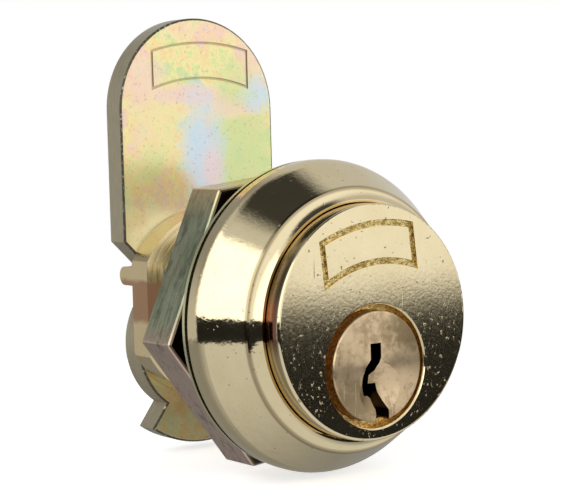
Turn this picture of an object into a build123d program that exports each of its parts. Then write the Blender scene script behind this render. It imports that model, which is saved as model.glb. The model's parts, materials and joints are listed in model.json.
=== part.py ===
from build123d import *
import os
from math import atan2, cos, degrees, hypot, radians, sin, sqrt

# Cam lock: a pin-tumbler plug in a threaded double-D barrel, with a trim collar,
# a panel washer, a hexagon nut and a flat cam on the plug's tail.
# Millimetres, +Z up. The barrel's axis is Y, and the key goes in towards +Y.
# The origin is on the barrel's axis, in the plane where the collar's back meets
# the front of the panel, so everything at negative Y stands proud of the panel.

# Running and seating clearances, on the radius unless they are named a gap
turn_clear = 0.06        # plug in the body
pin_clear = 0.05         # pins in their chambers
nut_clear = 0.08         # nut bore over the thread's crests
washer_clear = 0.30      # panel washer and collar over the barrel
head_clear = 0.12        # head in the collar's mouth
square_clear = 0.05      # plug's square tail in the cam, each side
screw_clear = 0.05       # screw in the tail and in its washer
cam_gap = 0.20           # cam behind the barrel's rear face
end_gap = 0.05           # small end gaps between flat faces that turn on each other

# Head and barrel
head_step = 1.6          # head's overhang round the barrel
head_proud = 11.2        # face of the head in front of the panel
head_edge = 0.35         # rounding at the face's rim
web_t = 2.2              # collar's web, clamped between the head and the panel
barrel_d = 25.4
barrel_len = 26.6        # barrel behind the panel's front face
flat_depth = 1.7         # how deep each of the two flats is cut
thread_pitch = 1.814     # 14 turns an inch
thread_depth = 1.10
thread_start = 0.6
plain_end = 3.9          # unthreaded part at the barrel's rear
rear_chamfer = 0.25

# Blank curved panel, outlined by a groove in the upper part of the face
panel_w = 14.4
panel_h = 5.4
panel_bend = 18.7        # radius of its curved middle line
panel_tilt = 6.4         # degrees, anticlockwise from the front
panel_x = -0.8
panel_z = 9.5
panel_groove_w = 0.8
panel_groove_depth = 0.3

# Plug, as far below the barrel's axis as the wall under it allows
barrel_floor = 0.94      # barrel's wall under the plug, to the thread's root
plug_d = 10.6
plug_step = 1.4          # plug's head round its body
plug_head_len = 3.8
plug_proud = 0.3         # plug's face in front of the head's
recess_w = 0.8           # open ring round the plug's head
recess_depth = 1.7
recess_edge = 0.2        # bevel around the recess
tail_square = 7.0
tail_short = 0.25        # tail ends this far inside the cam's back
face_edge = 0.2
dish_d = 6.2             # hollow dish around the keyway's lower half
dish_depth = 0.8
dish_x = 0.2
dish_z = -2.65

# Keyway: one warded slot, open at the plug's underside
key_slot_w = 1.6         # width of its straight upper part
key_side = -0.25         # keyway beside the plug's axis
key_top = 2.85           # its top above the plug's axis
key_ward = 2.0           # reach of the side ward to the left of the axis
key_foot = 1.8           # reach of the foot to the right
key_len = 31.2           # depth from the face

# Pin stacks
pin_count = 5
pin_first = 0.9          # first stack behind the panel's front face
pin_pitch = 4.0
pin_d = 2.7
driver_len = 3.6
key_pin_lens = [3.1, 2.5, 3.5, 2.8, 3.3]
pin_point = 0.75         # height of the cone at a key pin's tip
pin_tip_r = 0.35         # flat left at its end
pin_top_drop = 0.10      # key pin's flat top below the top of the plug
pin_bevel = 0.30
chamber_floor = -0.2     # bottom of the plug's chambers, above its axis
cap_step = 0.25          # cap's seat round the chamber
cap_t = 1.2
cap_sink = 1.0           # cap's top below the thread's root
cap_side = 0.01
spring_wire = 0.34
spring_turns = 6
spring_side = 0.18       # coil inside its chamber

# Stop lug on the barrel's rear face
lug_w = 2.5
lug_t = 2.1
lug_len = 3.2
lug_z = 4.2

# Cam
cam_t = 3.8
cam_w = 24.6
cam_reach = 43.9         # from the plug's axis to the tip
hub_gap = 2.0            # hub inside the lug's inner corner
stop_bite = 0.4          # stop step beyond the lug's outer corner
cam_turn = 90.0          # degrees, clockwise from the front
stop_clear = 0.6         # degrees left between the stop and the lug at the end
shoulder_gap = 0.28      # tongue's sloping shoulder over the lug at rest
tongue_side = 0.45       # tongue's middle beside the plug's axis
cam_edge = 0.35
stamp_w = 15.7           # blank curved panel outlined on the tongue
stamp_h = 5.1
stamp_bend = 25.0
stamp_side = 1.0         # its middle beside and above the plug's axis
stamp_z = 38.2
stamp_groove_w = 0.35
stamp_groove_depth = 0.2

# Cam screw and its washer
screw_d = 5.0
screw_len = 9.0
screw_head_d = 10.0
screw_head_h = 2.9
screw_slot_w = 1.2
screw_slot_depth = 1.4
screw_room = 0.6         # hole past the screw's end
spring_washer_d = 11.0
spring_washer_t = 1.2
spring_washer_cut = 1.0

# Trim collar
collar_w = 5.08          # from the mouth to the rim
collar_len = 8.6
rim_len = 1.2            # short cylinder at the collar's rear
round_len = 1.5          # convex step in front of it
round_rise = 0.5
cone_in = 1.73           # cone's front end outside the mouth
cone_front = 7.5         # and ahead of the panel
lip_w = 0.3              # flat lip around the mouth
collar_relief = 3.0      # hollow in the collar's back
collar_wall = 1.7        # outer wall beside the hollow
boss_wall = 1.2          # inner wall beside the hollow

# Panel washer and nut
washer_in = 0.1          # washer's rim inside the collar's
washer_t = 0.5
washer_at = 0.8          # washer behind the panel's front face
nut_wall = 4.72          # from the bore to the middle of each flat
nut_t = 6.45
nut_at = 3.4             # nut's front behind the panel's front face
nut_angle = 6.4          # degrees, one corner from the horizontal
nut_edge = 0.35
nut_round = 0.5
bore_chamfer = 0.6

# Worked-out places
barrel_r = barrel_d / 2
head_r = barrel_r + head_step
root_r = barrel_r - thread_depth
flat_x = barrel_r - flat_depth
face_y = -head_proud
head_back = -web_t
plug_r = plug_d / 2
bore_r = plug_r + turn_clear
plug_drop = root_r - barrel_floor - bore_r
plug_z = -plug_drop
plug_head_r = plug_r + plug_step
recess_r = plug_head_r + recess_w
plug_face_y = face_y - plug_proud
plug_head_back = face_y + plug_head_len
cam_front = barrel_len + cam_gap
cam_back = cam_front + cam_t
tail_end = cam_back - tail_short
screw_end = cam_back + spring_washer_t - screw_len
shear_z = plug_z + plug_r
pin_r = pin_d / 2
chamber_r = pin_r + pin_clear
cap_seat_r = chamber_r + cap_step
driver_top = shear_z + end_gap + driver_len
cap_top = root_r - cap_sink
cap_bottom = cap_top - cap_t
pin_ys = [pin_first + pin_pitch * i for i in range(pin_count)]
mouth_r = head_r + head_clear
rim_r = mouth_r + collar_w
nut_bore_r = barrel_r + nut_clear
nut_flat_r = nut_bore_r + nut_wall
# Lug's corners about the plug's axis set the cam's hub, stop step and shoulder
lug_inner_x = lug_t - flat_x
lug_under = lug_z - lug_w / 2 + plug_drop
lug_over = lug_under + lug_w
cam_hub_r = hypot(lug_inner_x, lug_under) - hub_gap
cam_stop_r = hypot(flat_x, lug_under) + stop_bite
shoulder_sum = lug_inner_x + lug_over + shoulder_gap * sqrt(2)
stop_angle = degrees(atan2(lug_under, -flat_x)) + cam_turn + stop_clear


def along_y(r, y0, y1, x=0.0, z=0.0):
    """A round bar about a line along Y, from y0 to y1."""
    bar = Cylinder(r, y1 - y0, rotation=(90, 0, 0))
    return Pos(x, (y0 + y1) / 2, z) * bar


def box_between(x0, x1, y0, y1, z0, z1):
    return Pos((x0 + x1) / 2, (y0 + y1) / 2, (z0 + z1) / 2) * Box(x1 - x0, y1 - y0, z1 - z0)


def extrude_y(face, y0, y1):
    """Sweep a face drawn with X to the right and Z up from y0 to y1."""
    plane = Plane(origin=(0, y0, 0), x_dir=(1, 0, 0), z_dir=(0, -1, 0))
    return extrude(plane * face, amount=-(y1 - y0))


def turned(points):
    """Turn a closed outline of (radius, y) points about the Y axis."""
    outline = make_face(Polyline([(r, y, 0) for r, y in points], close=True))
    return revolve(outline, Axis.Y)


def double_d(r, half_flat, y0, y1):
    """A round bar with two flats that face -X and +X."""
    reach = 2 * r
    return along_y(r, y0, y1) & box_between(-half_flat, half_flat, y0, y1, -reach, reach)


def polar(r, angle):
    return (r * cos(radians(angle)), r * sin(radians(angle)))


def save(node, shape):
    shape.label = node
    export_step(shape, "parts/" + node + ".step")


def curved_panel(width, height, bend, inset=0.0):
    """An upright panel with straight sides whose top and bottom follow one arc, about its middle."""
    outer, inner = bend + height / 2 - inset, bend - height / 2 + inset
    half = width / 2 - inset
    ring = Circle(outer) - Circle(inner)
    strip = Pos(0, bend) * Rectangle(2 * half, 2 * height)
    return Pos(0, -bend) * (ring & strip)


def panel_groove(width, height, bend, groove_w):
    """The outline of a curved panel as a band of one width, drawn inwards."""
    return curved_panel(width, height, bend) - curved_panel(width, height, bend, groove_w)


def thread_ring_outline():
    """Half-section of the barrel's threaded length, crests at the full radius."""
    end = barrel_len - plain_end
    count = int((end - thread_start) / thread_pitch)
    crest = thread_pitch / 8
    points = [(0, head_back), (barrel_r, head_back)]
    for i in range(count):
        y = end - (count - i) * thread_pitch
        points.append((barrel_r, y + crest / 2))
        points.append((root_r, y + thread_pitch / 2 - crest))
        points.append((root_r, y + thread_pitch / 2 + crest))
        points.append((barrel_r, y + thread_pitch - crest / 2))
    points.append((barrel_r, barrel_len - rear_chamfer))
    points.append((barrel_r - rear_chamfer, barrel_len))
    points.append((0, barrel_len))
    return points


def make_lock_body():
    head = along_y(head_r, face_y, head_back)
    head = fillet(head.edges().group_by(Axis.Y)[0], head_edge)
    barrel = turned(thread_ring_outline())
    reach = 2 * barrel_r
    barrel = barrel & box_between(-flat_x, flat_x, head_back, barrel_len, -reach, reach)
    body = head + barrel + make_lug()
    # Plug bore, its counterbore and the open recess at the face
    body -= Pos(0, 0, plug_z) * turned(recess_outline())
    body -= along_y(plug_head_r + turn_clear, face_y, plug_head_back + end_gap, z=plug_z)
    body -= along_y(bore_r, face_y, barrel_len + lug_len + 1, z=plug_z)
    body -= [chamber_cutter(y) for y in pin_ys]
    # Outline of the blank panel
    groove = panel_groove(panel_w, panel_h, panel_bend, panel_groove_w)
    groove = Pos(panel_x, panel_z) * Rot(0, 0, panel_tilt) * groove
    body -= extrude_y(groove, face_y - 1, face_y + panel_groove_depth)
    return body


def recess_outline():
    """Half-section of the open recess around the plug, bevelled at the face."""
    wide = recess_r + recess_edge
    floor_y = face_y + recess_depth
    bevel = [(wide, face_y), (recess_r, face_y + recess_edge)]
    return [(0, face_y - 1), (wide, face_y - 1), *bevel, (recess_r, floor_y), (0, floor_y)]


def chamber_cutter(y):
    """One drilled pin chamber, wider at the top for its cap."""
    top = barrel_r + 1
    drill = [(0, plug_z), (chamber_r, plug_z), (chamber_r, cap_bottom)]
    drill += [(cap_seat_r, cap_bottom), (cap_seat_r, top), (0, top)]
    profile = make_face(Polyline([(r, 0, z) for r, z in drill], close=True))
    return Pos(0, y, 0) * revolve(profile, Axis.Z)


def make_lug():
    """Stop lug: a tab with a full-round end, flush with the left flat."""
    tip_r = lug_w / 2
    x0, x1 = -flat_x, -flat_x + lug_t
    root = barrel_len - 1
    straight = barrel_len + lug_len - tip_r
    tab = box_between(x0, x1, root, straight, lug_z - tip_r, lug_z + tip_r)
    nose = Pos((x0 + x1) / 2, straight, lug_z) * Cylinder(tip_r, lug_t, rotation=(0, 90, 0))
    return tab + nose


def keyway_face():
    """Warded slot, drawn clockwise from its top left."""
    low = -plug_head_r - 1
    half = key_slot_w / 2
    ward, foot = key_ward, key_foot
    outline = [
        (-half, key_top), (half, key_top), (half, 1.1), (0.5, 0.45), (0.0, -0.5),
        (0.85 - ward + 0.3, -0.95), (0.85 - ward + 0.3, -2.0), (foot - 1.4, -2.05),
        (foot - 1.15, -3.1), (foot, -5.3), (foot, low), (-0.5, low), (-0.1, -5.2),
        (-0.6, -3.75), (-1.05, -3.45), (0.3 - ward, -3.4), (-ward, -2.2), (-ward, -1.0),
        (0.4 - ward, 0.0), (-half, 0.9),
    ]
    return Pos(key_side, 0) * make_face(Polyline(outline, close=True))


def dish_ball():
    """Ball that hollows the dish out of the plug's face."""
    half = dish_d / 2
    ball_r = (half * half + dish_depth * dish_depth) / (2 * dish_depth)
    return Pos(dish_x, plug_face_y + dish_depth - ball_r, dish_z) * Sphere(ball_r)


def make_plug():
    head = along_y(plug_head_r, plug_face_y, plug_head_back)
    head = fillet(head.edges().group_by(Axis.Y)[0], face_edge)
    plug = head + along_y(plug_r, plug_head_back, cam_front)
    half = tail_square / 2
    tail = box_between(-half, half, cam_front, tail_end, -half, half)
    plug += tail & along_y(plug_r, cam_front, tail_end)
    plug -= extrude_y(keyway_face(), plug_face_y - 1, face_y + key_len)
    plug -= dish_ball()
    top = plug_r + 1
    for y in pin_ys:
        plug -= Pos(0, y, (chamber_floor + top) / 2) * Cylinder(chamber_r, top - chamber_floor)
    plug -= along_y(screw_d / 2 + screw_clear, screw_end - screw_room, tail_end + 1)
    return Pos(0, 0, plug_z) * plug


def make_key_pin(y, length):
    """Bottom pin: bevelled flat top just under the plug's skin, and a cone below."""
    top = shear_z - pin_top_drop
    bevel = (pin_r - pin_bevel, 0)
    side = [(pin_r, -pin_bevel), (pin_r, pin_point - length)]
    outline = [(0, 0), bevel, *side, (pin_tip_r, -length), (0, -length)]
    profile = make_face(Polyline([(r, 0, z) for r, z in outline], close=True))
    return Pos(0, y, top) * revolve(profile, Axis.Z)


def make_driver_pin(y):
    pin = Cylinder(pin_r, driver_len)
    pin = chamfer(pin.edges().filter_by(GeomType.CIRCLE), pin_bevel / 2)
    return Pos(0, y, driver_top - driver_len / 2) * pin


def make_spring(y):
    """Coil from the driver's top to the cap, with its wire's ends left round."""
    wire_r = spring_wire / 2
    low = driver_top + wire_r + end_gap
    height = cap_bottom - wire_r - end_gap - low
    coil_r = chamber_r - spring_side - wire_r
    path = Helix(pitch=height / spring_turns, height=height, radius=coil_r)
    start = Plane(origin=path @ 0, z_dir=path % 0)
    coil = sweep(start * Circle(wire_r), path=path, is_frenet=True)
    return Pos(0, y, low) * coil


def make_chamber_caps():
    """Discs staked into the tops of the pin chambers."""
    caps = [Pos(0, y, cap_bottom + cap_t / 2) * Cylinder(cap_seat_r - cap_side, cap_t) for y in pin_ys]
    return Compound(children=caps)


def make_cam():
    """Flat cam about the plug's axis: full-round tongue, small hub, stop step below."""
    half = cam_w / 2
    round_z = cam_reach - half
    far = 2 * cam_reach
    tongue = Pos(0, round_z / 2) * Rectangle(cam_w, round_z) + Pos(0, round_z) * Circle(half)
    blank = Pos(tongue_side, 0) * tongue + Circle(cam_stop_r)
    # Gap for the stop lug: from the tongue's sloping shoulder round to the stop face
    start = shoulder_sum / 2
    stop = polar(far, stop_angle)
    gap = Polyline((start, start), (-far, shoulder_sum + far), (-far, stop[1]), stop, (0, 0), close=True)
    blank = blank - make_face(gap) + Circle(cam_hub_r)
    cam = extrude_y(blank, cam_front, cam_back)
    rims = cam.edges().group_by(Axis.Y)
    cam = fillet(list(rims[0]) + list(rims[-1]), cam_edge)
    side = tail_square / 2 + square_clear
    cam -= box_between(-side, side, cam_front - 1, cam_back + 1, -side, side)
    stamp = Pos(stamp_side, stamp_z) * panel_groove(stamp_w, stamp_h, stamp_bend, stamp_groove_w)
    cam -= extrude_y(stamp, cam_front - 1, cam_front + stamp_groove_depth)
    return Pos(0, 0, plug_z) * cam


def make_cam_lock_washer():
    washer = along_y(spring_washer_d / 2, cam_back, cam_back + spring_washer_t)
    washer -= along_y(screw_d / 2 + 2 * screw_clear, cam_back - 1, cam_back + spring_washer_t + 1)
    cut = Box(spring_washer_cut, 4 * spring_washer_t, spring_washer_d)
    washer -= Pos(0, cam_back + spring_washer_t / 2, spring_washer_d / 2) * Rot(0, 0, 30) * cut
    return Pos(0, 0, plug_z) * washer


def make_cam_screw():
    under = cam_back + spring_washer_t
    top = under + screw_head_h
    head = along_y(screw_head_d / 2, under, top)
    head = fillet(head.edges().group_by(Axis.Y)[-1], screw_head_h / 3)
    screw = head + along_y(screw_d / 2, screw_end, under + 1)
    half = screw_slot_w / 2
    screw -= box_between(-screw_d, screw_d, top - screw_slot_depth, top + 1, -half, half)
    screw -= box_between(-half, half, top - screw_slot_depth, top + 1, -screw_d, screw_d)
    return Pos(0, 0, plug_z) * screw


def make_trim_collar():
    """Bell-shaped ring: lip, cove, cone, convex step and a short rim, hollow behind."""
    hole_r = barrel_r + washer_clear
    lip_r = mouth_r + lip_w
    cone_r = mouth_r + cone_in
    shoulder_r = rim_r - round_rise
    rim_y, shoulder_y = -rim_len, -rim_len - round_len
    boss_r, well_r = mouth_r + boss_wall, rim_r - collar_wall
    cove_mid = ((lip_r + cone_r) / 2 - 0.12, -(collar_len + cone_front) / 2 + 0.12)
    step_mid = (rim_r - round_rise * 0.35, (rim_y + shoulder_y) / 2)
    outside = [
        Line((mouth_r, -collar_len), (lip_r, -collar_len)),
        ThreePointArc((lip_r, -collar_len), cove_mid, (cone_r, -cone_front)),
        Line((cone_r, -cone_front), (shoulder_r, shoulder_y)),
        ThreePointArc((shoulder_r, shoulder_y), step_mid, (rim_r, rim_y)),
        Line((rim_r, rim_y), (rim_r, 0)),
    ]
    back = [(rim_r, 0), (well_r, 0), (well_r, -collar_relief), (boss_r, -collar_relief), (boss_r, 0)]
    inside = [(hole_r, 0), (hole_r, head_back), (mouth_r, head_back), (mouth_r, -collar_len)]
    section = make_face(outside + [Polyline(back + inside)])
    return revolve(section, Axis.Y)


def make_panel_washer():
    end = washer_at + washer_t
    washer = along_y(rim_r - washer_in, washer_at, end)
    return washer - double_d(barrel_r + washer_clear, flat_x + washer_clear, washer_at - 1, end + 1)


def make_hex_nut():
    end = nut_at + nut_t
    corner_r = nut_flat_r / cos(radians(30))
    flat_ring = Rot(0, 0, nut_angle) * RegularPolygon(corner_r, 6)
    nut = extrude_y(flat_ring, nut_at, end)
    nut = fillet(nut.edges().filter_by(Axis.Y), nut_round)
    rims = nut.edges().group_by(Axis.Y)
    nut = chamfer(list(rims[0]) + list(rims[-1]), nut_edge)
    nut -= along_y(nut_bore_r, nut_at - 1, end + 1)
    mouth = nut_bore_r + bore_chamfer
    inner_y = nut_at + bore_chamfer + 1
    cone = [(0, nut_at - 1), (mouth + 1, nut_at - 1), (nut_bore_r - 1, inner_y), (0, inner_y)]
    nut -= turned(cone)
    nut -= Pos(0, nut_at + end, 0) * Rot(180, 0, 0) * turned(cone)
    return nut


os.makedirs("parts", exist_ok=True)
save("lock_body", make_lock_body())
save("trim_collar", make_trim_collar())
save("panel_washer", make_panel_washer())
save("hex_nut", make_hex_nut())
save("plug", make_plug())
for number, (pin_y, pin_len) in enumerate(zip(pin_ys, key_pin_lens), start=1):
    save("key_pin_%d" % number, make_key_pin(pin_y, pin_len))
    save("driver_pin_%d" % number, make_driver_pin(pin_y))
    save("pin_spring_%d" % number, make_spring(pin_y))
save("chamber_caps", make_chamber_caps())
save("cam", make_cam())
save("cam_lock_washer", make_cam_lock_washer())
save("cam_screw", make_cam_screw())
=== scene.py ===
import json

import bmesh
import bpy
from mathutils import Matrix, Vector

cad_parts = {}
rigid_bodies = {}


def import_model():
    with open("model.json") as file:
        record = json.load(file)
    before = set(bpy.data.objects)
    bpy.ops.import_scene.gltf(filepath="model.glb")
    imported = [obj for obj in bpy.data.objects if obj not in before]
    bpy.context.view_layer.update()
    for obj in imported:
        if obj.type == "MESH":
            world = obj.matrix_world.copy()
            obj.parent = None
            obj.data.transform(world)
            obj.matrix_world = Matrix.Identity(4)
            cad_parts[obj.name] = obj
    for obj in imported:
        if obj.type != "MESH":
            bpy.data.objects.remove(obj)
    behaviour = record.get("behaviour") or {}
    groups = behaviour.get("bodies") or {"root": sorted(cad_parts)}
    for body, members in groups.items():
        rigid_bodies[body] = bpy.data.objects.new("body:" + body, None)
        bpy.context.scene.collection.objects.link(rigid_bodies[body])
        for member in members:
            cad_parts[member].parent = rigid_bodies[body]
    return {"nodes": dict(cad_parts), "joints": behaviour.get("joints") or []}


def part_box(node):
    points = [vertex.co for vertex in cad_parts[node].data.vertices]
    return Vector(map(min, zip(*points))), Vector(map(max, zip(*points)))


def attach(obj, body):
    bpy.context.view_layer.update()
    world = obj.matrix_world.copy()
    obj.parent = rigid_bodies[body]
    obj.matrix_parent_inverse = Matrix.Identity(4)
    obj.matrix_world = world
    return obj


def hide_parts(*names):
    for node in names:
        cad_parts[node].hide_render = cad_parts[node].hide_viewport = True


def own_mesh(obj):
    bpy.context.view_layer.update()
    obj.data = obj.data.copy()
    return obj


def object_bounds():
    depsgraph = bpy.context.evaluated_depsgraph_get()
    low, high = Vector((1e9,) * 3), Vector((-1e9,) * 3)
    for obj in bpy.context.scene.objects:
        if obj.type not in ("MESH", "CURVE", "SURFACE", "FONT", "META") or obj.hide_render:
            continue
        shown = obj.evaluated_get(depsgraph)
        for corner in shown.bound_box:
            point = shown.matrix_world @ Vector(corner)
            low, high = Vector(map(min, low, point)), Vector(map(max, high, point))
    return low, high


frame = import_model()
cad_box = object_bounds()
nodes = frame["nodes"]


def middle_z(node):
    low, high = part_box(node)
    return (low.z + high.z) / 2


MM = 0.001
PLUG_Z = middle_z("cam_screw")
FACE_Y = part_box("lock_body")[0].y            # the head's face
PLUG_FACE_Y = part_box("plug")[0].y
CAM_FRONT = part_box("cam")[0].y
NUT_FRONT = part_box("hex_nut")[0].y
COLLAR_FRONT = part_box("trim_collar")[0].y
HEAD_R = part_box("lock_body")[1].x
PLUG_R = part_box("plug")[1].x
RECESS_R = 0.00765                            # recess round the plug
THREAD_R = 0.0127
THREAD_END = 0.0227
FLAT_X = -0.0110                              # the barrel's left flat
COLLAR_MOUTH_R = 0.01442
COLLAR_STEP_R = 0.0163                        # the step round the mouth, where a dark reflection line is painted


# ---------------------------------------------------------------- node helper

class Graph:
    """A short way to write a node tree."""

    def __init__(self, tree):
        self.tree = tree
        tree.nodes.clear()

    def add(self, kind, links=(), **settings):
        node = self.tree.nodes.new(kind)
        for key, value in settings.items():
            if key.startswith("in_"):
                name = key[3:].replace("__", " ")
                node.inputs[name].default_value = value
            else:
                setattr(node, key, value)
        for socket, source in dict(links).items():
            self.tree.links.new(source, node.inputs[socket])
        return node

    def math(self, op, a, b=0.0, c=0.0):
        node = self.tree.nodes.new("ShaderNodeMath")
        node.operation = op
        for i, x in enumerate((a, b, c)):
            if isinstance(x, (int, float)):
                node.inputs[i].default_value = x
            else:
                self.tree.links.new(x, node.inputs[i])
        return node.outputs[0]

    def times(self, *factors):
        product = factors[0]
        for factor in factors[1:]:
            product = self.math("MULTIPLY", product, factor)
        return product

    def plus(self, a, b):
        return self.math("ADD", a, b)

    def minus(self, a, b):
        return self.math("SUBTRACT", a, b)

    def scaled(self, x, factor, offset):
        return self.math("MULTIPLY_ADD", x, factor, offset)

    def step(self, x, low, high, out_low=0.0, out_high=1.0):
        """A smooth rise from low to high, or a fall where low is the larger."""
        node = self.tree.nodes.new("ShaderNodeMapRange")
        node.interpolation_type = "SMOOTHSTEP"
        sockets = ("Value", "From Min", "From Max", "To Min", "To Max")
        for name, v in zip(sockets, (x, low, high, out_low, out_high)):
            if isinstance(v, (int, float)):
                node.inputs[name].default_value = v
            else:
                self.tree.links.new(v, node.inputs[name])
        return node.outputs[0]

    def mix(self, fac, a, b):
        node = self.tree.nodes.new("ShaderNodeMix")
        node.data_type = "RGBA"
        node.clamp_factor = True
        if isinstance(fac, (int, float)):
            node.inputs[0].default_value = fac
        else:
            self.tree.links.new(fac, node.inputs[0])
        for socket, v in ((node.inputs[6], a), (node.inputs[7], b)):
            if isinstance(v, (int, float)):
                socket.default_value = (v, v, v, 1.0)
            elif isinstance(v, tuple):
                socket.default_value = (*v, 1.0)
            else:
                self.tree.links.new(v, socket)
        return node.outputs[2]

    def tint(self, colour, mask, amount, shade):
        """Lay a shade over a colour where a mask is on."""
        return self.mix(self.times(mask, amount), colour, shade)

    def noise(self, vector, scale, detail=2.0, rough=0.5, distortion=0.0, seed=0.0):
        node = self.tree.nodes.new("ShaderNodeTexNoise")
        node.noise_dimensions = "4D"
        node.inputs["W"].default_value = seed
        node.inputs["Scale"].default_value = scale
        node.inputs["Detail"].default_value = detail
        node.inputs["Roughness"].default_value = rough
        node.inputs["Distortion"].default_value = distortion
        self.tree.links.new(vector, node.inputs["Vector"])
        return node.outputs["Fac"]

    def stretch(self, vector, scale, turn=(0, 0, 0)):
        node = self.tree.nodes.new("ShaderNodeMapping")
        node.inputs["Scale"].default_value = scale
        node.inputs["Rotation"].default_value = turn
        self.tree.links.new(vector, node.inputs["Vector"])
        return node.outputs[0]

    def ramp(self, fac, stops):
        node = self.tree.nodes.new("ShaderNodeValToRGB")
        ramp = node.color_ramp
        ramp.interpolation = "EASE"
        while len(ramp.elements) < len(stops):
            ramp.elements.new(0.5)
        for element, (at, colour) in zip(ramp.elements, stops):
            element.position = at
            element.color = (*colour, 1.0)
        self.tree.links.new(fac, node.inputs[0])
        return node.outputs[0]

    def bump(self, height, distance, strength=1.0, normal=None):
        node = self.tree.nodes.new("ShaderNodeBump")
        node.inputs["Strength"].default_value = strength
        node.inputs["Distance"].default_value = distance
        self.tree.links.new(height, node.inputs["Height"])
        if normal is not None:
            self.tree.links.new(normal, node.inputs["Normal"])
        return node.outputs[0]


def srgb(r, g, b):
    def one(v):
        v /= 255
        return v / 12.92 if v <= 0.04045 else ((v + 0.055) / 1.055) ** 2.4
    return (one(r), one(g), one(b))


def material(name):
    mat = bpy.data.materials.new(name)
    mat.use_nodes = True
    g = Graph(mat.node_tree)
    g.out = g.add("ShaderNodeOutputMaterial")
    g.bsdf = g.add("ShaderNodeBsdfPrincipled")
    g.tree.links.new(g.bsdf.outputs[0], g.out.inputs[0])
    g.at = g.add("ShaderNodeTexCoord").outputs["Object"]
    g.xyz = g.add("ShaderNodeSeparateXYZ", {"Vector": g.at}).outputs
    return mat, g


def finish_metal(g, colour, rough, normal, metallic=1.0):
    g.bsdf.inputs["Metallic"].default_value = metallic
    for name, source in (("Base Color", colour), ("Roughness", rough), ("Normal", normal)):
        g.tree.links.new(source, g.bsdf.inputs[name])


def radius_about(g, z_mid):
    """Distance from the line along Y at that height."""
    x, y, z = g.xyz
    dz = g.minus(z, z_mid)
    return g.math("SQRT", g.plus(g.times(x, x), g.times(dz, dz)))


def facing_y(g):
    """The Y part of the surface's direction: -1 on a face that looks to the front."""
    normal = g.add("ShaderNodeTexCoord").outputs["Normal"]
    return g.add("ShaderNodeSeparateXYZ", {"Vector": normal}).outputs[1]


def rings_about(g, far, scale, detail, rough, seed):
    """Fine turned rings: noise that changes only with the distance from an axis."""
    line = g.add("ShaderNodeCombineXYZ", {"X": far}).outputs[0]
    return g.noise(line, scale, detail, rough, 0, seed)


def spot(g, x_mid, z_mid, x_size, z_size, wobble):
    """A soft oval patch seen along Y, its edge pushed about by a noise."""
    dx = g.math("DIVIDE", g.minus(g.xyz[0], x_mid), x_size)
    dz = g.math("DIVIDE", g.minus(g.xyz[2], z_mid), z_size)
    far = g.plus(g.times(dx, dx), g.times(dz, dz))
    far = g.plus(g.math("SQRT", far), g.scaled(wobble, 2.6, -1.3))
    return g.step(far, 1.35, 0.35)


def scratches(g, seed, turn, density):
    """Short fine lines along one direction."""
    lines = g.noise(g.stretch(g.at, (2600, 300, 150), turn), 1.0, 1, 0.4, 0, seed)
    return g.step(lines, density, density + 0.06)


def pits(g, seed, scale=1500, level=0.66):
    """Small sparse dots."""
    return g.step(g.noise(g.at, scale, 2, 0.55, 0, seed), level, level + 0.08)


def brass_plate(g):
    """Bright plate: pale gold with cloudy variation, pits and hairlines."""
    cloud = g.noise(g.at, 190, 4, 0.6, 0.4, 1)
    colour = g.mix(cloud, srgb(216, 198, 156), srgb(236, 223, 186))
    pit = pits(g, 2)
    hair = g.math("MAXIMUM", scratches(g, 3, (0, 0.15, 0), 0.75), scratches(g, 4, (0, 1.2, 0.2), 0.76))
    colour = g.tint(colour, pit, 0.55, srgb(122, 104, 66))
    colour = g.tint(colour, hair, 0.35, srgb(150, 134, 92))
    return colour, cloud, pit, hair


def collar_brass():
    """Bright plate with a slight orange peel, with painted golden shade inside the mouth and a painted
    dark reflection line along the step round it.
    """
    mat, g = material("polished_brass_collar")
    colour, cloud, pit, _hair = brass_plate(g)
    far = radius_about(g, 0.0)
    peel = g.noise(g.at, 620, 2, 0.5, 0, 5)
    grit = g.noise(g.at, 2600, 1, 0.5, 0, 6)
    # Painted shade: a darker golden tint inside the mouth, in the gap against the head
    inside = g.step(far, COLLAR_MOUTH_R + 0.33 * MM, COLLAR_MOUTH_R + 0.13 * MM)
    colour = g.tint(colour, inside, 0.7, srgb(206, 160, 72))
    # Painted dark reflection: a dark line along the step round the mouth
    dark_reflection_line = g.step(far, COLLAR_STEP_R - 0.6 * MM, COLLAR_STEP_R - 0.25 * MM)
    dark_reflection_line = g.times(dark_reflection_line, g.step(far, COLLAR_STEP_R + 0.1 * MM, COLLAR_STEP_R - 0.08 * MM))
    dark_reflection_line = g.times(dark_reflection_line, g.step(g.xyz[1], COLLAR_FRONT + 1.8 * MM, COLLAR_FRONT + 1.4 * MM))
    colour = g.tint(colour, dark_reflection_line, 0.6, srgb(104, 82, 50))
    rough = g.plus(g.scaled(cloud, 0.05, 0.045), g.times(pit, 0.2))
    wavier = g.step(far, COLLAR_STEP_R + 0.7 * MM, COLLAR_STEP_R + 2.2 * MM, 1.0, 2.0)
    normal = g.bump(g.times(peel, wavier), 0.00008, 0.16)
    normal = g.bump(grit, 0.00003, 0.22, normal)
    normal = g.bump(pit, 0.00003, 0.5, normal)
    finish_metal(g, colour, rough, normal)
    return mat


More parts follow.
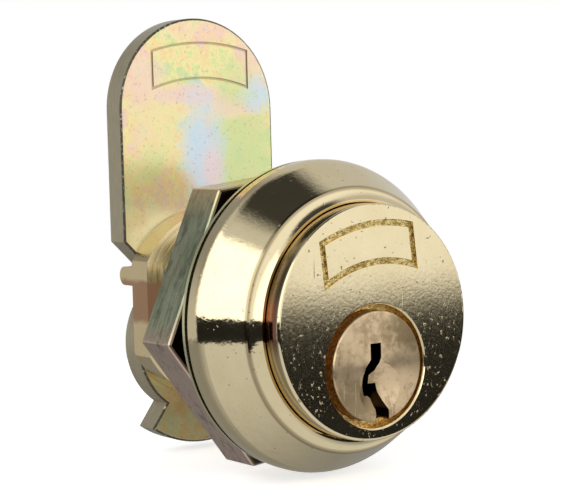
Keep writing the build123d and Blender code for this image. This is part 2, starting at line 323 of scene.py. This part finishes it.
def body_brass():
    """Bright plate on the head, worn low on its face, and yellower plate on the thread."""
    mat, g = material("polished_brass_body")
    x, y, z = g.xyz
    colour, cloud, pit, hair = brass_plate(g)
    around = radius_about(g, 0.0)
    plug_far = radius_about(g, PLUG_Z)
    grain = g.noise(g.stretch(g.at, (3200, 3200, 260)), 1.0, 2, 0.55, 0, 7)
    grit = g.noise(g.at, 2300, 2, 0.6, 0, 8)
    # Brown-gold film where polishing doesn't reach: the recess and the outlined panel's groove
    deep = g.step(y, FACE_Y + 0.08 * MM, FACE_Y + 0.24 * MM)
    well = g.times(g.step(plug_far, RECESS_R + 0.2 * MM, RECESS_R + 0.05 * MM), deep)
    grainy = g.step(g.noise(g.at, 1700, 3, 0.7, 0, 9), 0.40, 0.60)
    film = g.mix(grainy, srgb(166, 138, 74), srgb(236, 212, 146))
    on_face = g.step(y, FACE_Y + 2.6 * MM, FACE_Y + 2.2 * MM)
    groove = g.times(deep, on_face, g.step(around, HEAD_R - 0.4 * MM, HEAD_R - 0.6 * MM))
    colour = g.mix(groove, colour, film)
    colour = g.tint(colour, well, 0.35, srgb(204, 160, 84))
    # Painted shade and dark reflection round the head's side, deepest and with a little painted red
    # reflection about its middle height
    side = g.step(around, HEAD_R - 0.35 * MM, HEAD_R - 0.15 * MM)
    side = g.times(side, g.step(y, FACE_Y + 0.08 * MM, FACE_Y + 0.6 * MM))
    level = g.plus(z, g.scaled(cloud, 4 * MM, -2 * MM))
    middle = g.times(g.step(level, -3.5 * MM, -0.8 * MM), g.step(level, 10.5 * MM, 7 * MM))
    red_reflection_band = g.times(g.step(level, -3 * MM, -1 * MM), g.step(level, 4.2 * MM, 2.4 * MM))
    painted_side_shade = g.mix(red_reflection_band, srgb(72, 58, 42), srgb(118, 66, 52))
    amount = g.times(side, g.scaled(middle, 0.62, 0.30))
    colour = g.mix(amount, colour, painted_side_shade)
    # Yellower, duller plate on the thread, with painted shade in its valleys
    thread = g.step(y, -0.5 * MM, 0.5 * MM)
    shaded_valley = g.step(around, THREAD_R - 0.15 * MM, THREAD_R - 0.95 * MM)
    shaded_valley = g.times(shaded_valley, g.step(y, THREAD_END + 0.2 * MM, THREAD_END))
    plate = g.mix(cloud, srgb(206, 186, 136), srgb(226, 208, 168))
    plate = g.tint(plate, shaded_valley, 0.75, srgb(122, 104, 52))
    colour = g.mix(thread, colour, plate)
    # A painted red reflection band along the left flat
    level = g.plus(z, g.scaled(cloud, 3 * MM, -1.5 * MM))
    stain_and_red_reflection = g.times(g.step(level, -2.2 * MM, -1.2 * MM), g.step(level, 4.2 * MM, 3.4 * MM))
    on_flat = g.times(g.step(x, FLAT_X + 0.3 * MM, FLAT_X + 0.1 * MM), thread)
    stain_and_red_reflection = g.times(stain_and_red_reflection, on_flat)
    colour = g.tint(colour, stain_and_red_reflection, 0.65, srgb(146, 84, 58))
    colour = g.tint(colour, pit, 0.3, srgb(96, 82, 52))
    dull = g.times(g.math("MAXIMUM", groove, thread), 0.18)
    rough = g.plus(g.scaled(grit, 0.07, 0.035), dull)
    rough = g.plus(rough, g.times(pit, 0.15))
    # Wear: small bright nicks in drifts, on the face's lower half
    nicks = g.noise(g.stretch(g.at, (2300, 2300, 1300), (0, 0.6, 0)), 1.0, 4, 0.75, 0.6, 10)
    worn = g.step(nicks, 0.60, 0.72)
    worn = g.times(worn, g.step(g.noise(g.at, 240, 2, 0.5, 0, 20), 0.42, 0.62, 0.1, 1.0))
    worn = g.times(worn, g.step(z, 4 * MM, -1 * MM, 0.15, 1.0))
    normal = g.bump(grain, 0.00002, 0.14)
    normal = g.bump(grit, 0.00002, 0.12, normal)
    normal = g.bump(worn, 0.00003, 0.34, normal)
    normal = g.bump(g.plus(pit, hair), 0.00003, 0.55, normal)
    rough_film = g.noise(g.at, 2600, 2, 0.6, 0, 19)
    normal = g.bump(g.times(rough_film, groove), 0.00012, 0.8, normal)
    finish_metal(g, colour, rough, normal)
    return mat


def plug_brass():
    """Turned satin face: rings about the plug's axis, so light fans out across them."""
    mat, g = material("satin_brass_plug")
    x, y, z = g.xyz
    far = radius_about(g, PLUG_Z)
    rings = rings_about(g, far, 5200, 3, 0.7, 11)
    cloud = g.noise(g.at, 420, 4, 0.62, 0.5, 12)
    grit = g.noise(g.at, 2800, 2, 0.6, 0, 13)
    colour = g.mix(cloud, srgb(214, 186, 146), srgb(242, 218, 180))
    colour = g.mix(g.times(g.step(rings, 0.55, 0.7), 0.25), colour, srgb(176, 142, 100))
    broken = g.scaled(g.noise(g.at, 1300, 3, 0.7, 0, 14), 0.6, -0.3)
    stain_and_red_reflection = g.plus(g.noise(g.at, 210, 2, 0.5, 0, 18), broken)
    stain_and_red_reflection = g.times(g.step(stain_and_red_reflection, 0.46, 0.66), 0.6)
    colour = g.mix(stain_and_red_reflection, colour, srgb(150, 122, 88))
    # Two painted dark reflection patches, right of the keyway and low on its left: middle, size and
    # strength
    for x_mid, z_mid, x_size, z_size, amount in [(4.8, 0.0, 3.6, 4.6, 0.9), (-3.0, -9.8, 3.6, 4.4, 0.85)]:
        mask = spot(g, x_mid * MM, z_mid * MM, x_size * MM, z_size * MM, cloud)
        colour = g.mix(g.times(mask, amount), colour, srgb(150, 130, 96))
    side = g.step(far, PLUG_R - 0.15 * MM, PLUG_R - 0.05 * MM)
    side = g.times(side, g.step(y, PLUG_FACE_Y + 0.15 * MM, PLUG_FACE_Y + 0.35 * MM))
    golden = g.mix(g.step(grit, 0.4, 0.6), srgb(130, 90, 40), srgb(206, 156, 82))
    colour = g.tint(colour, side, 0.8, golden)
    # Painted shade: nearly black walls inside the keyway
    across = facing_y(g)
    inside = g.step(g.math("ABSOLUTE", across), 0.6, 0.4)
    inside = g.times(inside, g.step(far, PLUG_R - 0.1 * MM, PLUG_R - 0.2 * MM))
    inside = g.times(inside, g.step(y, 0.0, -1 * MM))
    colour = g.tint(colour, inside, 0.96, (0.028, 0.014, 0.008))
    dots = pits(g, 15, 3400, 0.64)
    hair = g.math("MAXIMUM", scratches(g, 16, (0, 0.9, 0), 0.68), scratches(g, 17, (0, -0.5, 0), 0.70))
    colour = g.tint(colour, dots, 0.6, srgb(110, 84, 56))
    colour = g.tint(colour, hair, 0.4, srgb(244, 228, 196))
    normal = g.bump(rings, 0.00003, 0.35)
    normal = g.bump(grit, 0.00002, 0.35, normal)
    normal = g.bump(g.plus(hair, dots), 0.00002, 0.45, normal)
    outwards = g.add("ShaderNodeCombineXYZ", {"X": x, "Z": g.minus(z, PLUG_Z)}).outputs[0]
    turned = g.add("ShaderNodeVectorTransform", {"Vector": outwards}, vector_type="VECTOR",
                   convert_from="OBJECT", convert_to="WORLD").outputs[0]
    g.tree.links.new(turned, g.bsdf.inputs["Tangent"])
    g.bsdf.inputs["Anisotropic"].default_value = 0.9
    finish_metal(g, colour, g.scaled(grit, 0.12, 0.30), normal)
    return mat


def satin_brass():
    """Plain turned brass of the small parts inside."""
    mat, g = material("satin_brass")
    cloud = g.noise(g.at, 500, 3, 0.6, 0.3, 21)
    rings = g.noise(g.stretch(g.at, (300, 300, 6000)), 1.0, 2, 0.6, 0, 22)
    colour = g.mix(cloud, srgb(196, 168, 118), srgb(228, 204, 156))
    colour = g.mix(g.times(pits(g, 23), 0.4), colour, srgb(128, 100, 60))
    finish_metal(g, colour, g.scaled(rings, 0.14, 0.22), g.bump(rings, 0.00002, 0.3))
    return mat


def cam_zinc():
    """Yellow passivated zinc: oval patches of interference colour over brushed sheet."""
    mat, g = material("yellow_zinc_cam")
    x, y, z = g.xyz
    wobble = g.noise(g.at, 130, 4, 0.6, 0.3, 31)
    small = g.noise(g.at, 420, 4, 0.65, 0.4, 32)
    mottle = g.noise(g.stretch(g.at, (1500, 1500, 1100)), 1.0, 3, 0.7, 0.5, 39)
    tint = g.plus(g.times(small, 0.5), g.times(mottle, 0.3))
    tint = g.scaled(wobble, 0.3, tint)
    # Interference colours in order, as fine mottling all over
    film = [(0.42, srgb(196, 222, 196)), (0.48, srgb(226, 238, 158)), (0.53, srgb(252, 240, 178)),
            (0.58, srgb(255, 226, 160)), (0.63, srgb(252, 214, 200)), (0.70, srgb(222, 238, 180))]
    colour = g.ramp(tint, film)
    yellow, pink, lemon = srgb(255, 238, 178), srgb(255, 216, 210), srgb(255, 250, 212)
    blue, green = srgb(212, 232, 250), srgb(218, 232, 164)
    # Larger patches on the tongue, in mm: middle, size, shade and strength
    patches = [
        (7.6, 20.0, 5.5, 9.0, green, 0.85), (-7.2, 24.0, 4.5, 8.0, yellow, 0.7),
        (-8.6, 30.5, 3.0, 4.6, pink, 0.6), (3.0, 37.0, 8.0, 1.5, pink, 0.35),
        (9.5, 34.0, 2.6, 4.5, pink, 0.55), (-0.5, 28.2, 5.0, 1.3, pink, 0.8),
        (3.5, 25.9, 8.0, 1.1, yellow, 0.6), (6.5, 26.6, 4.5, 1.3, pink, 0.6),
        (0.9, 19.8, 3.4, 7.8, blue, 0.9), (2.4, 18.2, 1.9, 3.2, pink, 0.6),
        (10.2, 28.6, 2.6, 2.8, blue, 0.8), (-7.2, 18.6, 2.4, 3.4, green, 0.5),
        (-5.5, 8.5, 8.0, 6.5, lemon, 1.0), (7.0, 30.0, 3.5, 3.5, green, 0.5),
    ]
    ragged = g.plus(g.times(wobble, 0.55), g.times(small, 0.45))
    for x_mid, z_mid, x_size, z_size, shade, amount in patches:
        mask = spot(g, x_mid * MM, z_mid * MM, x_size * MM, z_size * MM, ragged)
        colour = g.mix(g.times(mask, amount), colour, shade)
    # The hub and stop step are browner, with an orange bloom
    low = g.step(z, -1 * MM, -6 * MM)
    bloom = g.mix(g.step(small, 0.4, 0.62), srgb(186, 178, 136), srgb(196, 160, 92))
    colour = g.tint(colour, low, 0.75, bloom)
    # Greyer sheared sides, and a painted dark reflection with painted bright glints on the rounded rim
    # between them and the flat
    flat = g.math("ABSOLUTE", facing_y(g))
    edge = g.step(flat, 0.93, 0.6)
    sheared = g.noise(g.stretch(g.at, (500, 4200, 500)), 1.0, 2, 0.6, 0, 33)
    colour = g.mix(edge, colour, g.mix(sheared, srgb(128, 120, 96), srgb(172, 162, 136)))
    painted_rim_reflection = g.times(g.step(flat, 0.998, 0.97), g.step(flat, 0.25, 0.45))
    rim_glints = g.step(g.noise(g.at, 2600, 2, 0.6, 0, 38), 0.56, 0.68)
    rim_reflection_colour = g.mix(rim_glints, srgb(44, 42, 34), srgb(176, 174, 158))
    colour = g.tint(colour, painted_rim_reflection, 0.94, rim_reflection_colour)
    fleck = g.math("MAXIMUM", pits(g, 34, 2600, 0.60), pits(g, 35, 1200, 0.70))
    colour = g.tint(colour, fleck, 0.32, srgb(150, 138, 96))
    # Darker film in the outlined panel's groove
    cut = g.step(y, CAM_FRONT + 0.04 * MM, CAM_FRONT + 0.12 * MM)
    cut = g.times(cut, g.step(y, CAM_FRONT + 0.32 * MM, CAM_FRONT + 0.24 * MM))
    cut = g.times(cut, g.step(flat, 0.9, 0.99))
    colour = g.tint(colour, cut, 0.45, srgb(150, 134, 78))
    brushed = g.noise(g.stretch(g.at, (2600, 2600, 420)), 1.0, 2, 0.6, 0, 36)
    grit = g.noise(g.at, 2300, 2, 0.6, 0, 37)
    rough = g.plus(g.scaled(grit, 0.10, 0.13), g.times(edge, 0.16))
    normal = g.bump(brushed, 0.00002, 0.22)
    normal = g.bump(g.plus(fleck, grit), 0.00002, 0.3, normal)
    finish_metal(g, colour, rough, normal, 0.4)
    return mat


def nut_zinc():
    """Dull passivated bar: grey-green and pink streaks that run round the nut."""
    mat, g = material("yellow_zinc_nut")
    x, y, z = g.xyz
    streak = g.noise(g.stretch(g.at, (190, 1500, 190)), 1.0, 4, 0.65, 0.4, 41)
    patch = g.noise(g.at, 150, 4, 0.6, 0.5, 42)
    colour = g.mix(g.step(streak, 0.38, 0.62), srgb(130, 140, 112), srgb(170, 176, 148))
    pink = g.times(g.step(patch, 0.46, 0.62), g.step(z, 4 * MM, -4 * MM, 0.22, 0.5))
    colour = g.mix(pink, colour, srgb(176, 142, 134))
    # Lighter and pinker towards the bottom, lighter and yellower near the top
    colour = g.mix(g.times(g.step(z, 1 * MM, -3 * MM), 0.65), colour, srgb(222, 188, 172))
    colour = g.mix(g.times(g.step(z, 12 * MM, 16.5 * MM), 0.7), colour, srgb(226, 200, 150))
    # Painted shade on the front, up to a bright line along its edge, and painted shade on the inner part
    # of that edge
    across = facing_y(g)
    colour = g.mix(g.step(across, -0.90, -0.97, 0.0, 0.92), colour, srgb(58, 46, 30))
    shaded_inner_edge = g.step(y, NUT_FRONT + 0.22 * MM, NUT_FRONT + 0.14 * MM)
    shaded_inner_edge = g.times(g.step(across, -0.35, -0.55), shaded_inner_edge)
    colour = g.tint(colour, shaded_inner_edge, 0.9, srgb(66, 56, 38))
    cloudy = g.noise(g.stretch(g.at, (520, 900, 520)), 1.0, 3, 0.65, 0.3, 45)
    blotch = g.step(cloudy, 0.50, 0.68, 0.0, 0.5)
    colour = g.mix(blotch, colour, srgb(84, 84, 66))
    fleck = pits(g, 43, 1900, 0.62)
    colour = g.tint(colour, fleck, 0.45, srgb(112, 108, 88))
    lines = g.noise(g.stretch(g.at, (260, 5200, 260)), 1.0, 2, 0.6, 0, 44)
    rough = g.scaled(lines, 0.16, 0.20)
    normal = g.bump(lines, 0.00002, 0.45)
    normal = g.bump(fleck, 0.00002, 0.35, normal)
    finish_metal(g, colour, rough, normal)
    return mat


def washer_zinc():
    """Thin turned washer, passivated yellow."""
    mat, g = material("yellow_zinc_washer")
    around = radius_about(g, 0.0)
    turned = rings_about(g, around, 4200, 2, 0.6, 51)
    patch = g.noise(g.at, 260, 4, 0.6, 0.4, 52)
    colour = g.mix(patch, srgb(206, 200, 150), srgb(224, 222, 186))
    colour = g.mix(g.times(pits(g, 53), 0.4), colour, srgb(130, 122, 86))
    finish_metal(g, colour, g.scaled(turned, 0.12, 0.18), g.bump(turned, 0.00002, 0.3))
    return mat


def bright_steel():
    """Drawn and turned steel of the screw, the split washer, the driver pins and the springs."""
    mat, g = material("bright_steel")
    cloud = g.noise(g.at, 420, 4, 0.6, 0.3, 61)
    lines = g.noise(g.stretch(g.at, (900, 5200, 900)), 1.0, 2, 0.6, 0, 62)
    colour = g.mix(cloud, srgb(186, 184, 174), srgb(222, 220, 210))
    colour = g.mix(g.times(pits(g, 63), 0.35), colour, srgb(122, 118, 104))
    finish_metal(g, colour, g.scaled(lines, 0.14, 0.16), g.bump(lines, 0.00002, 0.25))
    return mat


STEEL = bright_steel()
SATIN = satin_brass()

LOOKS = {
    "lock_body": body_brass(), "trim_collar": collar_brass(), "plug": plug_brass(), "chamber_caps": SATIN,
    "hex_nut": nut_zinc(), "panel_washer": washer_zinc(), "cam": cam_zinc(),
}

for name, node in nodes.items():
    look = LOOKS.get(name, SATIN if name.startswith("key_pin") else STEEL)
    node.data.materials.clear()
    node.data.materials.append(look)


# ---------------------------------------------------------------- springs

def shortening_spring(joint, coil):
    """A copy of the coil's own mesh on the lock case, which takes the original coil's place."""
    name, top = coil["node"], coil["fixed_end_z_m"]
    spring = nodes[name].copy()
    spring.data = nodes[name].data.copy()
    spring.name = name.replace("pin_spring", "spring_coil")
    for key in list(spring.keys()):
        if key.startswith("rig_"):
            del spring[key]
    spring.parent = None
    spring.matrix_world = nodes[name].matrix_world
    bpy.context.scene.collection.objects.link(spring)
    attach(spring, joint["parent"])
    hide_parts(name)
    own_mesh(spring)


for joint in frame["joints"]:
    for coil in joint.get("deforming_nodes", []):
        shortening_spring(joint, coil)


# ---------------------------------------------------------------- stage, light and camera

DEGREES = 57.2958        # in a radian
FOOT_BLUR = 0.7          # degrees, half the soft edge of the wall's foot
FLOOR_R = 0.11
FLOOR_Y = 0.012
FLOOR_GAP = 0.0009


def camera():
    """A long lens in front, to the left and a little above."""
    data = bpy.data.cameras.new("camera")
    data.sensor_width = 36
    data.lens = 111.5
    data.clip_start = 0.01
    right = Vector((0.81042, -0.58521, -0.02726))
    up = Vector((0.06431, 0.04262, 0.99702))
    back = right.cross(up)
    obj = bpy.data.objects.new("camera", data)
    bpy.context.scene.collection.objects.link(obj)
    turn = Matrix((right, up, back)).transposed().to_4x4()
    obj.matrix_world = Matrix.Translation((-0.12969, -0.17255, 0.02426)) @ turn
    bpy.context.scene.camera = obj


def world():
    """White to the camera. The metal mirrors a pale room with a soft light, and a table below it."""
    w = bpy.data.worlds.new("studio")
    bpy.context.scene.world = w
    w.use_nodes = True
    g = Graph(w.node_tree)
    out = g.add("ShaderNodeOutputWorld")
    at = g.add("ShaderNodeTexCoord").outputs["Generated"]
    x, y, z = g.add("ShaderNodeSeparateXYZ", {"Vector": at}).outputs
    height = g.times(g.math("ARCSINE", z), DEGREES)
    back = g.step(y, 0.35, 0.55)
    front = g.minus(1.0, back)
    # Table: pale close by, darker behind the object
    table = g.step(y, -0.2, 0.5, 0.76, 0.30)
    # Wall: pale all round, with one large soft light on the left and a dark ceiling
    soft_box = g.times(g.step(x, -0.40, -0.62), g.step(height, 54, 45))
    soft_box = g.times(soft_box, front)
    wall = g.step(y, -0.5, 0.1, 1.12, 0.66)
    rear = g.times(g.step(x, 0.35, 0.0), back)
    wall = g.mix(rear, wall, g.step(height, 2, 26, 0.6, 0.33))
    wall = g.mix(soft_box, wall, 2.0)
    wall = g.times(wall, g.step(height, 74, 58, 0.08, 1.0))
    # Dark gap between the table's edge and the wall's foot, none behind the object; heights in degrees
    foot = g.plus(g.step(x, -0.9, 0.3, 1.0, -6.05), g.step(x, 0.8, 0.97, 0.0, 8.55))
    foot = g.plus(foot, g.step(x, 0.60, 0.68, 0.0, 0.5))
    above_foot = g.plus(foot, FOOT_BLUR)
    below_foot = g.minus(foot, FOOT_BLUR)
    gap = g.times(g.step(height, above_foot, below_foot), g.step(height, -15.0, -13.0))
    gap = g.times(gap, front)
    above = g.step(height, below_foot, above_foot)
    above = g.mix(back, above, g.step(height, -12, -10))
    light = g.mix(above, table, wall)
    light = g.mix(gap, light, 0.02)
    seen = g.add("ShaderNodeLightPath").outputs["Is Camera Ray"]
    shade = g.add("ShaderNodeBackground", {"Color": light})
    white = g.add("ShaderNodeBackground", in_Color=(1, 1, 1, 1))
    mix = g.add("ShaderNodeMixShader", {0: seen, 1: shade.outputs[0], 2: white.outputs[0]})
    g.tree.links.new(mix.outputs[0], out.inputs[0])


def floor():
    """A pale disc just under the lock, for its shadow; bright metal doesn't mirror it."""
    mesh = bpy.data.meshes.new("floor")
    bm = bmesh.new()
    bmesh.ops.create_circle(bm, cap_ends=True, segments=96, radius=FLOOR_R)
    bm.to_mesh(mesh)
    bm.free()
    obj = bpy.data.objects.new("floor", mesh)
    obj.location = (0, FLOOR_Y, cad_box[0][2] - FLOOR_GAP)
    bpy.context.scene.collection.objects.link(obj)
    mat, g = material("floor")
    g.bsdf.inputs["Roughness"].default_value = 0.8
    grain = g.noise(g.at, 900, 2, 0.5, 0, 8)
    g.tree.links.new(g.mix(grain, (0.78, 0.78, 0.77), (0.82, 0.82, 0.81)), g.bsdf.inputs["Base Color"])
    seen = g.add("ShaderNodeLightPath").outputs["Is Camera Ray"]
    glow = g.add("ShaderNodeEmission", {"Strength": g.times(seen, 0.6)})
    total = g.add("ShaderNodeAddShader", {0: g.bsdf.outputs[0], 1: glow.outputs[0]})
    g.tree.links.new(total.outputs[0], g.out.inputs[0])
    obj.data.materials.append(mat)
    obj.visible_glossy = False


camera()
world()
floor()

bpy.context.scene.view_settings.view_transform = "Standard"
